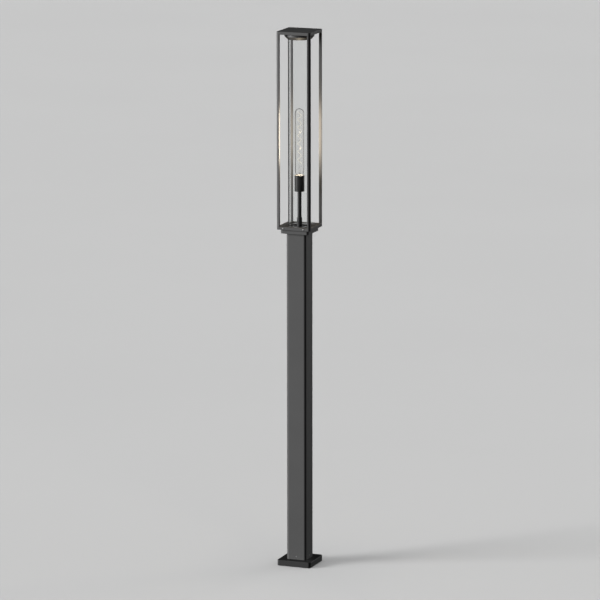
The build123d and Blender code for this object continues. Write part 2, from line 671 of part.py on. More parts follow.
def bulb_outline(inset):
    """Half the lamp's outline, set in by this much, closed along the axis, in the sketch that is open."""
    neck, body = BULB_NECK_RADIUS - inset, BULB_RADIUS - inset
    with BuildLine() as outline:
        Polyline((0, BULB_BOTTOM), (neck, BULB_BOTTOM), (neck, NECK_TOP))
        Spline((neck, NECK_TOP), (body, SHOULDER), tangents=((0, 1), (0, 1)))
        Line((body, SHOULDER), (body, DOME_BASE))
        CenterArc((0, DOME_BASE), body, 0, 90)
        Line((0, DOME_BASE + body), (0, BULB_BOTTOM))
    make_face(outline.edges())


with BuildPart() as bulb_envelope:
    with BuildSketch(Plane.XZ):
        bulb_outline(0)
    revolve(axis=Axis.Z)
    with BuildSketch(Plane.XZ):
        bulb_outline(BULB_GLASS)
    revolve(axis=Axis.Z, mode=Mode.SUBTRACT)
save(bulb_envelope, "bulb_envelope")

FLARE_RADIUS = BULB_NECK_RADIUS - BULB_GLASS - 0.1
FLARE_RIM = BULB_BOTTOM + 1.5
FLARE_WAIST = (3.4, 1340)
SUPPORT_ROD = 1.2
ROD_START = PINCH_TOP + 4.0

with BuildPart() as bulb_stem:
    with BuildSketch(Plane.XZ):
        with BuildLine():
            Polyline((0, BULB_BOTTOM), (FLARE_RADIUS, BULB_BOTTOM), (FLARE_RADIUS, FLARE_RIM))
            flare_ends = (FLARE_RADIUS, FLARE_RIM), (PINCH_RADIUS, PINCH_TOP)
            Spline(flare_ends[0], FLARE_WAIST, flare_ends[1], tangents=((-1, 0.4), (0, 1)))
            Line((PINCH_RADIUS, PINCH_TOP), (SUPPORT_ROD, ROD_START))
            Line((SUPPORT_ROD, ROD_START), (SUPPORT_ROD, FILAMENT_TOP))
            Line((SUPPORT_ROD, FILAMENT_TOP), (0, FILAMENT_TOP))
            Line((0, FILAMENT_TOP), (0, BULB_BOTTOM))
        make_face()
    revolve(axis=Axis.Z)
save(bulb_stem, "bulb_stem")

FILAMENT_WALL = 1.0

with BuildPart() as filament:
    with BuildSketch(Plane.XY.offset(FILAMENT_BOTTOM)):
        ring(FILAMENT_RADIUS + FILAMENT_WALL, FILAMENT_RADIUS - FILAMENT_WALL)
    extrude(amount=FILAMENT_TOP - FILAMENT_BOTTOM)
save(filament, "filament")

WIRE_RADIUS = 0.4
WIRE_START = SUPPORT_ROD + SCREW_PLAY
WIRE_LENGTH = FILAMENT_RADIUS - FILAMENT_WALL - SCREW_PLAY - WIRE_START

with BuildPart() as filament_supports:
    for z in (FILAMENT_BOTTOM + 1, FILAMENT_TOP - 1):
        for way in (1, -1):
            with BuildSketch(Plane.YZ.offset(way * WIRE_START)):
                with Locations((0, z)):
                    Circle(WIRE_RADIUS)
            extrude(amount=way * WIRE_LENGTH)
save(filament_supports, "filament_supports")
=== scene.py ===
import json
import math

import bmesh
import bpy
from mathutils import Matrix, Vector

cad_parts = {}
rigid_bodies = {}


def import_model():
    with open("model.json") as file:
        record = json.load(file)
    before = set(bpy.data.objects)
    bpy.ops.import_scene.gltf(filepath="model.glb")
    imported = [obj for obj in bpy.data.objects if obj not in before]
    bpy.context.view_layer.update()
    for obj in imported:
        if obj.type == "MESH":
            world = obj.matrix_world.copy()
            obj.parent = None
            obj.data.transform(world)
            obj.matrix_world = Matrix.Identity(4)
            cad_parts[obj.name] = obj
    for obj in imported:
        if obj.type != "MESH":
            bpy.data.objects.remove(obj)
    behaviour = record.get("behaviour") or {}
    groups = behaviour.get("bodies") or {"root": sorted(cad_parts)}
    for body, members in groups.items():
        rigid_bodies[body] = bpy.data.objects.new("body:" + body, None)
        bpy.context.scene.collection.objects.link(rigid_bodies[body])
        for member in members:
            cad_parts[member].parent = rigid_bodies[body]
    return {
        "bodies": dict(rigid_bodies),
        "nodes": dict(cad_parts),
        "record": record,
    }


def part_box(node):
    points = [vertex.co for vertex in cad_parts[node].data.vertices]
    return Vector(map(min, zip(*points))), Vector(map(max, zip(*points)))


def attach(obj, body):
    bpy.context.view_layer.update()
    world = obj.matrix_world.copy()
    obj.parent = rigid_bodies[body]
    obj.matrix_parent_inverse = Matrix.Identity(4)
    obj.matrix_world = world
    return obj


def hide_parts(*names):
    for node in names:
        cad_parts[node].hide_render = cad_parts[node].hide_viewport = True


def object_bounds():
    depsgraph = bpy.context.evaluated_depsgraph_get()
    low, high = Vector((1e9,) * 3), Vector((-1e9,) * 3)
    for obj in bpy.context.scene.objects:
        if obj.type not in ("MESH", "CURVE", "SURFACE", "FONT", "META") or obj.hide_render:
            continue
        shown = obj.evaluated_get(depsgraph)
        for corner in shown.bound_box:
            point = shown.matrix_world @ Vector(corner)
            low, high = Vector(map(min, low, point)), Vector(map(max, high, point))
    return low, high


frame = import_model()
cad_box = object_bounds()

# Looks of the outdoor post lantern. Metres, +Z up, the front is -Y. Outer sizes and heights are read
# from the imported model; walls, holes and edges are named in each piece's function.

MM = 0.001
TURN = 2 * math.pi


# ---------------------------------------------------------------- reading the frame
def low(node):
    """Lowest corner of a CAD node."""
    return Vector(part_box(node)[0])


def high(node):
    """Highest corner of a CAD node."""
    return Vector(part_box(node)[1])


def extent(node):
    """Bottom, top and half-width of a CAD node that stands on the axis."""
    return low(node).z, high(node).z, high(node).x


def slot_of(node):
    """Material slot of a CAD node."""
    return next(s["material_slot"] for s in frame["record"]["subparts"] if s["node"] == node)


# ---------------------------------------------------------------- camera
CAMERA_AZIMUTH = math.radians(21.19)
CAMERA_PITCH = math.radians(11.18)
CAMERA_ROLL = math.radians(-0.06)
CAMERA_DISTANCE = 14.556
CAMERA_LENS = 260.5
CAMERA_SENSOR = 36
CAMERA_CLIP = 200
CAMERA_ASIDE = 1.2 * MM  # how far the aim passes to the right of the post's axis
CAMERA_DROP = 1.1 * MM  # how far the aim passes below the middle of the height


def make_camera():
    """A long lens from the front right, aimed at the middle of the lantern's height."""
    data = bpy.data.cameras.new("camera")
    data.lens = CAMERA_LENS
    data.sensor_width = CAMERA_SENSOR
    data.clip_end = CAMERA_CLIP
    camera = bpy.data.objects.new("camera", data)
    bpy.context.scene.collection.objects.link(camera)
    back = Vector((
        math.sin(CAMERA_AZIMUTH) * math.cos(CAMERA_PITCH),
        -math.cos(CAMERA_AZIMUTH) * math.cos(CAMERA_PITCH),
        math.sin(CAMERA_PITCH),
    ))
    right = Vector((math.cos(CAMERA_AZIMUTH), math.sin(CAMERA_AZIMUTH), 0))
    middle = Vector((0, 0, (cad_box[0][2] + cad_box[1][2]) / 2 - CAMERA_DROP))
    camera.location = middle + right * CAMERA_ASIDE + back * CAMERA_DISTANCE
    turn = (-back).to_track_quat("-Z", "Y").to_matrix() @ Matrix.Rotation(CAMERA_ROLL, 3, "Z")
    camera.rotation_euler = turn.to_euler()
    bpy.context.scene.camera = camera


make_camera()

# ---------------------------------------------------------------- mesh helpers
ROUND_SEGMENTS = 96
CORNER_STEPS = 8  # steps round each corner of a square row
SHARP_ANGLE = math.radians(32)  # an edge that turns by more than this is shaded sharp
NORMAL_WEIGHT = 80  # how far the large faces rule the shading of a small edge


def soften(corners, radii, steps=4):
    """A closed outline with rounded corners. A corner is (distance from the axis, height)."""
    outline = []
    count = len(corners)
    for i, radius in enumerate(radii):
        here = Vector(corners[i])
        if radius == 0:
            outline.append(here)
            continue
        before = (Vector(corners[i - 1]) - here).normalized()
        after = (Vector(corners[(i + 1) % count]) - here).normalized()
        half = before.angle(after) / 2
        centre = here + (before + after).normalized() * radius / math.sin(half)
        start = here + before * radius / math.tan(half) - centre
        end = here + after * radius / math.tan(half) - centre
        sweep = start.angle_signed(end)
        for k in range(steps + 1):
            turn = Matrix.Rotation(-sweep * k / steps, 2)
            outline.append(centre + turn @ start)
    return outline


def ring_outline(node, inner, radii, steps=4):
    """Outline of a ring as high and wide as a CAD node. Its corners go up outside and down inside."""
    bottom, top, outer = extent(node)
    return soften([(outer, bottom), (outer, top), (inner, top), (inner, bottom)], radii, steps)


def round_row(radius, height, segments=ROUND_SEGMENTS, shift=0.0):
    """Points of a circle round the axis, or one point on the axis."""
    if radius <= 0:
        return [(0, 0, height)]
    angles = [TURN * (k + shift) / segments for k in range(segments)]
    return [(radius * math.cos(a), radius * math.sin(a), height) for a in angles]


def hole_row(radius, height):
    """Points of a round hole, as many as a square row has and in step with them."""
    return round_row(radius, height, 4 * (CORNER_STEPS + 1), 0.5)


def square_row(half, corner, height):
    """Points of a square with rounded corners round the axis."""
    inner = half - corner
    row = []
    for quarter in range(4):
        start = TURN * quarter / 4
        centre_x = inner * (1 if quarter in (0, 3) else -1)
        centre_y = inner * (1 if quarter in (0, 1) else -1)
        for k in range(CORNER_STEPS + 1):
            angle = start + TURN / 4 * k / CORNER_STEPS
            row.append((centre_x + corner * math.cos(angle), centre_y + corner * math.sin(angle), height))
    return row


def hexagon_row(flats, height):
    """Points of a hexagon round the axis, as many as a circle's row has."""
    row = []
    for k in range(ROUND_SEGMENTS):
        angle = TURN * k / ROUND_SEGMENTS
        radius = flats / 2 / math.cos(angle % (TURN / 6) - TURN / 12)
        row.append((radius * math.cos(angle), radius * math.sin(angle), height))
    return row


def skin(rows, closed, builder=None):
    """Faces between neighbouring rows of points, and from the last row to the first if closed.

    A row of one point is a tip.
    """
    mesh = builder or bmesh.new()
    made = [[mesh.verts.new(point) for point in row] for row in rows]
    pairs = list(zip(made, made[1:])) + ([(made[-1], made[0])] if closed else [])
    for first, second in pairs:
        for k in range(max(len(first), len(second))):
            corners = []
            for row, place in ((first, k), (first, k + 1), (second, k + 1), (second, k)):
                vert = row[place % len(row)]
                if vert not in corners:
                    corners.append(vert)
            mesh.faces.new(corners)
    if not closed:
        for row, flip in ((made[0], True), (made[-1], False)):
            if len(row) > 2:
                mesh.faces.new(row[::-1] if flip else row)
    return mesh


def turned(outline, closed=True, segments=ROUND_SEGMENTS):
    """A turned piece: its outline swept round the axis."""
    return skin([round_row(r, z, segments) for r, z in outline], closed)


def squared(outline, half, corner, closed=True, least=0.5 * MM):
    """A square piece: its outline swept round a square whose corner radius is given at one half-width."""
    return skin([square_row(d, max(corner - (half - d), least), z) for d, z in outline], closed)


def tube(points, radius, builder=None, sides=12):
    """A round wire along points, closed at both ends."""
    points = [Vector(p) for p in points]
    rows = []
    across = None
    for i, point in enumerate(points):
        along = (points[min(i + 1, len(points) - 1)] - points[max(i - 1, 0)]).normalized()
        if across is None:
            across = along.orthogonal().normalized()
        across = (across - along * across.dot(along)).normalized()
        up = along.cross(across)
        angles = [TURN * k / sides for k in range(sides)]
        rows.append([point + (across * math.cos(a) + up * math.sin(a)) * radius for a in angles])
    return skin(rows, False, builder)


def bore(mesh, start, end, radius):
    """A straight round cutter, added to a shape."""
    tube([start, end], radius, mesh, sides=48)


def rounded_edges(mesh, width):
    """Rounds every edge that turns clearly."""
    edges = [e for e in mesh.edges if e.is_manifold and e.calc_face_angle() > math.radians(30)]
    bmesh.ops.bevel(
        mesh, geom=edges, offset=width, segments=3, profile=0.5, affect="EDGES", clamp_overlap=True
    )
    return mesh


def cut(mesh, cutter):
    """The first shape with the second taken out of it."""
    shapes = []
    for part in (mesh, cutter):
        bmesh.ops.recalc_face_normals(part, faces=part.faces)
        data = bpy.data.meshes.new("shape")
        part.to_mesh(data)
        part.free()
        shape = bpy.data.objects.new("shape", data)
        bpy.context.scene.collection.objects.link(shape)
        shapes.append(shape)
    step = shapes[0].modifiers.new("cut", "BOOLEAN")
    step.operation = "DIFFERENCE"
    step.solver = "EXACT"
    step.object = shapes[1]
    result = bmesh.new()
    result.from_object(shapes[0], bpy.context.evaluated_depsgraph_get())
    for shape in shapes:
        data = shape.data
        bpy.data.objects.remove(shape)
        bpy.data.meshes.remove(data)
    return result


def seat_rows(mesh, rows, seat, outward):
    """Adds a piece made of rows to a shape: its foot stands on the seat and its Z points outward."""
    first = len(mesh.verts)
    skin(rows, False, mesh)
    mesh.verts.ensure_lookup_table()
    place = Matrix.Translation(seat) @ Vector(outward).to_track_quat("Z", "Y").to_matrix().to_4x4()
    bmesh.ops.transform(mesh, matrix=place, verts=mesh.verts[first:])


def socket_screw(mesh, seat, outward, head, height, shank, length, flats, depth):
    """A domed hexagon-socket screw on its seat. Head and shank are diameters."""
    flat_top, rim, foot, point = 0.6, 0.15, 0.98, 0.8  # shares of the head's and the shank's own size
    steps = 6
    rows = [
        round_row(shank / 2 * point, -length),
        round_row(shank / 2, -length + shank * 0.1),
        round_row(shank / 2, 0),
        round_row(head / 2 * foot, 0),
    ]
    for k in range(steps + 1):
        swing = TURN / 4 * k / steps
        reach = flat_top + (1 - flat_top) * math.cos(swing)
        rise = rim + (1 - rim) * math.sin(swing)
        rows.append(round_row(head / 2 * reach, height * rise))
    rows += [hexagon_row(flats, height), hexagon_row(flats, height - depth)]
    seat_rows(mesh, rows, seat, outward)


def finish_piece(name, mesh, nodes, body, coat=None):
    """Turns a bmesh into a shown piece that stands for CAD nodes and rides on their body.

    Its material is the one of its slot, unless another is named, such as the base cover's powder coat
    painted darker as shade.
    """
    bmesh.ops.recalc_face_normals(mesh, faces=mesh.faces)
    data = bpy.data.meshes.new(name)
    mesh.to_mesh(data)
    mesh.free()
    data.shade_smooth()
    data.set_sharp_from_angle(angle=SHARP_ANGLE)
    data.materials.append(MATERIALS[coat or slot_of(nodes[0])])
    piece = bpy.data.objects.new(name, data)
    bpy.context.scene.collection.objects.link(piece)
    normals = piece.modifiers.new("normals", "WEIGHTED_NORMAL")
    normals.keep_sharp = True
    normals.weight = NORMAL_WEIGHT
    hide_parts(*nodes)
    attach(piece, body)
    return piece


def let_light_through(piece):
    """Glass is seen, but scattered light and shadows pass it, so that what stands inside isn't lit twice."""
    piece.visible_shadow = False
    piece.visible_diffuse = False
    piece.visible_glossy = False


# ---------------------------------------------------------------- materials
MATERIALS = {}
DRAWN = (1, 1, 0.03)  # stretches noise into streaks along a tube
GLASS_MIRROR = 0.15  # tint of what glass mirrors, kept low so that it doesn't veil what stands inside
RELIEF = 0.35


def new_material(name):
    """A material kept under its name. Returns its node tree and its shader."""
    material = bpy.data.materials.new(name)
    material.use_nodes = True
    MATERIALS[name] = material
    return material.node_tree, material.node_tree.nodes["Principled BSDF"]


def grey(value, warmth=0.0):
    """A grey, or one slightly warmer in red and poorer in blue."""
    return (value * (1 + warmth), value, value * (1 - warmth))


def noise_at(tree, scale, detail=3.0, stretch=(1, 1, 1)):
    """Noise fixed to the object, in metres."""
    place = tree.nodes.new("ShaderNodeTexCoord")
    size = tree.nodes.new("ShaderNodeMapping")
    size.inputs["Scale"].default_value = stretch
    noise = tree.nodes.new("ShaderNodeTexNoise")
    noise.inputs["Scale"].default_value = scale
    noise.inputs["Detail"].default_value = detail
    tree.links.new(place.outputs["Object"], size.inputs["Vector"])
    tree.links.new(size.outputs["Vector"], noise.inputs["Vector"])
    return noise.outputs["Fac"]


def spread(tree, value, low_end, high_end):
    """Maps noise, which seldom leaves its middle, to a range of plain values."""
    ranged = tree.nodes.new("ShaderNodeMapRange")
    ranged.inputs["From Min"].default_value = 0.3
    ranged.inputs["From Max"].default_value = 0.7
    ranged.inputs["To Min"].default_value = low_end
    ranged.inputs["To Max"].default_value = high_end
    tree.links.new(value, ranged.inputs["Value"])
    return ranged.outputs["Result"]


def tones(tree, value, dark, light):
    """Blends two colours by noise."""
    ramp = tree.nodes.new("ShaderNodeValToRGB")
    ramp.color_ramp.elements[0].position = 0.35
    ramp.color_ramp.elements[1].position = 0.65
    ramp.color_ramp.elements[0].color = (*dark, 1)
    ramp.color_ramp.elements[1].color = (*light, 1)
    tree.links.new(value, ramp.inputs["Fac"])
    return ramp.outputs["Color"]


def bump(tree, shader, height, distance):
    """Relief in a surface. The distance is its full depth."""
    node = tree.nodes.new("ShaderNodeBump")
    node.inputs["Strength"].default_value = RELIEF
    node.inputs["Distance"].default_value = distance
    tree.links.new(height, node.inputs["Height"])
    tree.links.new(node.outputs["Normal"], shader.inputs["Normal"])


def grained(name, dark, light, rough, scale, metallic=0.0, specular=0.5, patch=9, depth=0.02):
    """A solid finish: large soft patches of tone, and a fine grain in gloss and relief. Depth is in mm."""
    tree, shader = new_material(name)
    tree.links.new(tones(tree, noise_at(tree, patch), dark, light), shader.inputs["Base Color"])
    grain = noise_at(tree, scale, 2.0)
    tree.links.new(spread(tree, grain, *rough), shader.inputs["Roughness"])
    shader.inputs["Metallic"].default_value = metallic
    shader.inputs["Specular IOR Level"].default_value = specular
    bump(tree, shader, grain, depth * MM)


def clear(name, ior, tint, streak):
    """Clear glass with the faint streaks of drawn tube along its length."""
    tree, shader = new_material(name)
    streaks = noise_at(tree, 160, 2.0, DRAWN)
    streaked = tuple(c * streak for c in tint)
    tree.links.new(tones(tree, streaks, streaked, tint), shader.inputs["Base Color"])
    shader.inputs["Transmission Weight"].default_value = 1.0
    shader.inputs["Roughness"].default_value = 0.0
    shader.inputs["Specular Tint"].default_value = (*grey(GLASS_MIRROR), 1)
    shader.inputs["IOR"].default_value = ior


def glowing(name, colour, strength):
    """A strand that gives warm light, a little uneven along its length."""
    tree, shader = new_material(name)
    duller = tuple(0.9 * c for c in colour)
    colours = tones(tree, noise_at(tree, 700), duller, colour)
    shader.inputs["Base Color"].default_value = (*grey(0.05), 1)
    tree.links.new(colours, shader.inputs["Emission Color"])
    shader.inputs["Emission Strength"].default_value = strength
    shader.inputs["Roughness"].default_value = 0.6


grained("powder_coat", grey(0.032), grey(0.035), (0.47, 0.53), scale=2200, specular=0.3, depth=0.006)
# The base cover's finish is the post's powder coat painted darker: painted shade for its sides, which sit in
# shade near the ground.
grained("base_painted_shade", grey(0.009), grey(0.011), (0.50, 0.58), scale=2200, specular=0.2, depth=0.006)
grained("holder_black", grey(0.022), grey(0.026), (0.32, 0.37), scale=3000, depth=0.003)
grained("black_screw", grey(0.03), grey(0.05), (0.35, 0.5), scale=1500, metallic=0.6)
grained("galvanised_steel", grey(0.38), grey(0.55), (0.35, 0.55), scale=400, metallic=0.9, patch=60)
grained("stainless_steel", grey(0.20), grey(0.26), (0.42, 0.55), scale=2500, metallic=1.0)
grained("cast_aluminium", grey(0.48), grey(0.58), (0.5, 0.7), scale=1200, metallic=0.9, depth=0.05)
grained("brass", (0.70, 0.48, 0.20), (0.80, 0.58, 0.27), (0.22, 0.35), scale=1800, metallic=1.0)
grained("block_plastic", grey(0.66, 0.03), grey(0.70, 0.03), (0.4, 0.5), scale=1200)
grained("lead_brown", (0.10, 0.045, 0.02), (0.13, 0.06, 0.03), (0.35, 0.45), scale=1200)
grained("lead_blue", (0.03, 0.09, 0.34), (0.04, 0.12, 0.42), (0.35, 0.45), scale=1200)
grained("rubber", grey(0.014), grey(0.020), (0.6, 0.75), scale=1300, depth=0.03)
grained("ceramic", grey(0.72, 0.03), grey(0.78, 0.03), (0.15, 0.25), scale=500)
grained("solder", grey(0.42), grey(0.52), (0.25, 0.4), scale=700, metallic=1.0, patch=200)
grained("cap_insulator", grey(0.008), grey(0.014), (0.08, 0.2), scale=500)
grained("nickel_cap", grey(0.60, 0.02), grey(0.70, 0.02), (0.14, 0.24), scale=1500, metallic=1.0)
grained("support_wire", grey(0.40), grey(0.50), (0.25, 0.35), scale=2500, metallic=1.0)
clear("clear_glass", 1.5, (0.99, 0.997, 0.993), 0.985)
clear("bulb_glass", 1.45, (1.0, 0.998, 0.99), 0.99)
glowing("filament", (1.0, 0.92, 0.78), 0.8)

for node_name, node_object in frame["nodes"].items():
    node_object.data.materials.clear()
    node_object.data.materials.append(MATERIALS[slot_of(node_name)])

# ---------------------------------------------------------------- places that several pieces share
SIDE_HALF = high("base_cover").x
POST_HALF = high("post_tube").x
CORNER = 8 * MM  # outer corner radius of the square pieces
SOFT = 0.6 * MM  # edge radius that a powder coat leaves
BAR_SECTION = 10 * MM
SET_SCREW_Z = 30 * MM
SIDES = [Vector((0, -1, 0)), Vector((1, 0, 0)), Vector((0, 1, 0)), Vector((-1, 0, 0))]
SIDE_SCREWS = [(side, x) for side in (SIDES[0], SIDES[2]) for x in (-36 * MM, 36 * MM)]


def four_spots(reach):
    """The corners of a square round the axis."""
    return [(x, y) for x in (-reach, reach) for y in (-reach, reach)]


# ---------------------------------------------------------------- ground end and post
def make_base_cover():
    bottom, top, half = extent("base_cover")
    wall, hole = 3 * MM, 35.4 * MM
    hem, brow = 0.4 * MM, 1.5 * MM
    outline = soften(
        [
            (half, bottom),
            (half, top),
            (hole, top),
            (hole, top - wall),
            (half - wall, top - wall),
            (half - wall, bottom),
        ],
        [hem, brow, hem, 0, 0, hem],
    )
    mesh = squared(outline, half, CORNER)
    # Painted shade: the base cover gets the powder coat painted darker, for the shade its sides sit in near
    # the ground.
    finish_piece("base_cover_shell", mesh, ["base_cover"], "cover", "base_painted_shade")


def make_anchor_plate():
    bottom, top, half = extent("anchor_plate")
    inlet, hole, spot = 20 * MM, 4.5 * MM, 45 * MM
    corner, edge = 6 * MM, 0.5 * MM
    rows = [
        hole_row(inlet + edge, bottom),
        square_row(half - edge, corner, bottom),
        square_row(half, corner, bottom + edge),
        square_row(half, corner, top - edge),
        square_row(half - edge, corner, top),
        hole_row(inlet + edge, top),
        hole_row(inlet, top - edge),
        hole_row(inlet, bottom + edge),
    ]
    holes = bmesh.new()
    for x, y in four_spots(spot):
        bore(holes, (x, y, bottom - MM), (x, y, top + MM), hole)
    mesh = cut(skin(rows, True), holes)
    finish_piece("ground_plate", mesh, ["anchor_plate"], "post")


def make_post():
    wall, edge, screw_hole = 3 * MM, 0.3 * MM, 2.6 * MM
    outline = ring_outline("post_tube", POST_HALF - wall, [edge] * 4, steps=2)
    holes = bmesh.new()
    for side in SIDES:
        height = Vector((0, 0, SET_SCREW_Z))
        inside, outside = height + side * (POST_HALF - 2 * wall), height + side * (POST_HALF + wall)
        bore(holes, inside, outside, screw_hole)
    mesh = cut(squared(outline, POST_HALF, CORNER), holes)
    finish_piece("post_profile", mesh, ["post_tube"], "post")


def make_post_screws():
    """Set screws, one in each side of the post, sunk just below its face."""
    sink, radius, length, flats = 0.1 * MM, 2.5 * MM, 5 * MM, 2.5 * MM
    point, point_length = 0.7 * radius, 0.6 * MM
    rim, rim_depth = 0.86 * radius, 0.4 * MM
    rows = [
        round_row(point, -length),
        round_row(radius, -length + point_length),
        round_row(radius, -rim_depth),
        round_row(rim, 0),
        hexagon_row(flats, 0),
        hexagon_row(flats, -flats),
    ]
    mesh = bmesh.new()
    for side in SIDES:
        seat_rows(mesh, rows, side * (POST_HALF - sink) + Vector((0, 0, SET_SCREW_Z)), side)
    finish_piece("post_set_screws", mesh, ["post_fixing_screws"], "post")


# ---------------------------------------------------------------- tray
def make_tray():
    """The tray between post and lantern: a wide lower part, a narrower upper one with a rim, a pocket."""
    bottom, top, half = extent("head_tray")
    ledge, recess, pocket = low("bottom_ring").z, low("floor_plate").z, bottom + 5 * MM
    edge, bevel = 0.5 * MM, 0.15 * MM  # lower part: where an edge starts, and how far its middle is cut back
    upper, upper_corner = 47.7 * MM, 4 * MM
    lip, lip_bevel = 0.4 * MM, 0.12 * MM  # the same for the rim's outer edge
    rim, rim_corner, rim_edge = 2 * MM, 2.5 * MM, 0.3 * MM
    well, well_corner, way = 41 * MM, 12 * MM, 8 * MM
    rows = [hole_row(way, bottom)]
    for reach, height, corner in (
        (half - edge, bottom, CORNER - edge),
        (half - bevel, bottom + bevel, CORNER - bevel),
        (half, bottom + edge, CORNER),
        (half, ledge - edge, CORNER),
        (half - bevel, ledge - bevel, CORNER - bevel),
        (half - edge, ledge, CORNER - edge),
        (upper, ledge, upper_corner),
        (upper, top - lip, upper_corner),
        (upper - lip_bevel, top - lip_bevel, upper_corner - lip_bevel),
        (upper - lip, top, upper_corner - lip),
        (upper - rim + rim_edge, top, rim_corner + 0.2 * MM),
        (upper - rim, top - rim_edge, rim_corner),
        (upper - rim, recess, rim_corner),
        (well, recess, well_corner),
        (well, pocket, well_corner),
    ):
        rows.append(square_row(reach, corner, height))
    rows.append(hole_row(way, pocket))
    finish_piece("tray_body", skin(rows, True), ["head_tray"], "post")


def make_floor_plate():
    bottom, top, half = extent("floor_plate")
    hole, corner, edge = 5.1 * MM, 2.3 * MM, 0.4 * MM
    rows = [hole_row(hole, bottom)]
    for reach, height, radius in (
        (half - edge, bottom, corner - edge),
        (half, bottom + edge, corner),
        (half, top - edge, corner),
        (half - 0.3 * edge, top - 0.3 * edge, corner - 0.25 * edge),
        (half - edge, top, corner - edge),
    ):
        rows.append(square_row(reach, radius, height))
    rows.append(hole_row(hole, top))
    finish_piece("floor_sheet", skin(rows, True), ["floor_plate"], "post")


def make_floor_screws():
    size = {"head": 5, "height": 1.4, "shank": 3, "length": 9, "flats": 2, "depth": 0.9}
    spot, seat = 41 * MM, high("floor_plate").z
    mesh = bmesh.new()
    for x, y in four_spots(spot):
        socket_screw(mesh, (x, y, seat), (0, 0, 1), **{name: value * MM for name, value in size.items()})
    finish_piece("floor_button_screws", mesh, ["floor_screws"], "post")


# ---------------------------------------------------------------- lantern frame
def make_bottom_ring():
    """The lantern's bottom frame, with sunk holes for the bars' screws and plain ones at two sides."""
    bottom, top, half = extent("bottom_ring")
    inner, inner_corner, spot = half - 12 * MM, 2 * MM, half - BAR_SECTION / 2
    sink, sink_depth, screw_hole = 3.1 * MM, 3 * MM, 2.1 * MM
    outline = ring_outline("bottom_ring", inner, [SOFT] * 4)
    holes = bmesh.new()
    for x, y in four_spots(spot):
        bore(holes, (x, y, bottom - MM), (x, y, bottom + sink_depth), sink)
    for side, x in SIDE_SCREWS:
        middle = Vector((x, 0, (bottom + top) / 2))
        bore(holes, middle + side * (inner - 2 * MM), middle + side * (half + MM), screw_hole)
    mesh = cut(squared(outline, half, CORNER, least=inner_corner), holes)
    finish_piece("bottom_ring_frame", mesh, ["bottom_ring"], "head")


def make_corner_bars():
    """Four upright bars. The outer corner carries the frame's large radius, the other three a small one."""
    small_edge = 0.45 * MM
    section = soften(
        [(0, 0), (BAR_SECTION, 0), (BAR_SECTION, BAR_SECTION), (0, BAR_SECTION)],
        [0, 0, CORNER, 0],
        steps=10,
    )
    for place in ("front_left", "front_right", "back_left", "back_right"):
        node = "corner_bar_" + place
        near, far = low(node), high(node)
        inner = Vector((min(near.x, far.x, key=abs), min(near.y, far.y, key=abs)))
        outer = Vector((max(near.x, far.x, key=abs), max(near.y, far.y, key=abs)))
        way = (outer - inner) / BAR_SECTION
        rows = [[(inner.x + u * way.x, inner.y + v * way.y, z) for u, v in section] for z in (near.z, far.z)]
        mesh = rounded_edges(skin(rows, False), small_edge)
        finish_piece("bar_" + place, mesh, [node], "head")


def make_side_screws():
    size = {"head": 6, "height": 1.2, "shank": 4, "length": 12, "flats": 2.5, "depth": 1.7}
    height = low("bottom_ring").z + BAR_SECTION / 2
    mesh = bmesh.new()
    for side, x in SIDE_SCREWS:
        seat = side * SIDE_HALF + Vector((x, 0, height))
        socket_screw(mesh, seat, side, **{name: value * MM for name, value in size.items()})
    finish_piece("side_button_screws", mesh, ["side_screws"], "head")


def make_top_plate():
    bottom, top = low("top_plate").z, high("top_plate").z
    brow = 0.8 * MM
    outline = soften(
        [(0, bottom), (SIDE_HALF, bottom), (SIDE_HALF, top), (0, top)],
        [0, SOFT, brow, 0],
    )
    mesh = squared(outline[1:-1], SIDE_HALF, CORNER, closed=False)
    finish_piece("top_plate_slab", mesh, ["top_plate"], "head")


def make_top_disc():
    """The disc that holds the glass: a cone below, a groove for the glass and three sunk screw holes."""
    bottom, top, radius = extent("top_disc")
    cone, edge, brow = 10.2 * MM, 0.3 * MM, 0.6 * MM
    groove_out, groove_in, groove_top = 38.6 * MM, 34.4 * MM, bottom + 10 * MM
    outline = soften(
        [
            (0, bottom),
            (groove_in, bottom),
            (groove_in, groove_top),
            (groove_out, groove_top),
            (groove_out, bottom),
            (radius - cone, bottom),
            (radius, bottom + cone),
            (radius, top),
            (0, top),
        ],
        [0, edge, 0, 0, edge, edge, brow, edge, 0],
    )
    screws, screw_ring = 3, 22 * MM
    sink, sink_depth, screw_hole = 3.6 * MM, 4 * MM, 2.1 * MM
    holes = bmesh.new()
    for k in range(screws):
        x, y = screw_ring * math.cos(TURN * k / screws), screw_ring * math.sin(TURN * k / screws)
        bore(holes, (x, y, bottom - MM), (x, y, bottom + sink_depth), sink)
        bore(holes, (x, y, bottom + sink_depth - MM), (x, y, top + MM), screw_hole)
    mesh = cut(turned(outline, closed=False, segments=144), holes)
    finish_piece("glass_carrier", mesh, ["top_disc"], "head")


def make_gaskets():
    """Rubber seals below and above the glass, with well rounded edges."""
    for node, name, body, width in (
        ("lower_glass_gasket", "lower_seal", "post", 6 * MM),
        ("upper_glass_gasket", "upper_seal", "head", 4 * MM),
    ):
        bottom, top, outer = extent(node)
        edge = 0.35 * (top - bottom)
        finish_piece(name, turned(ring_outline(node, outer - width, [edge] * 4)), [node], body)


def make_glass_cylinder():
    wall, lower_edge, upper_edge = 3 * MM, 0.8 * MM, 0.5 * MM
    inner = high("glass_cylinder").x - wall
    outline = ring_outline("glass_cylinder", inner, [lower_edge, upper_edge, upper_edge, lower_edge])
    mesh = turned(outline, segments=192)
    let_light_through(finish_piece("drawn_glass_tube", mesh, ["glass_cylinder"], "head"))


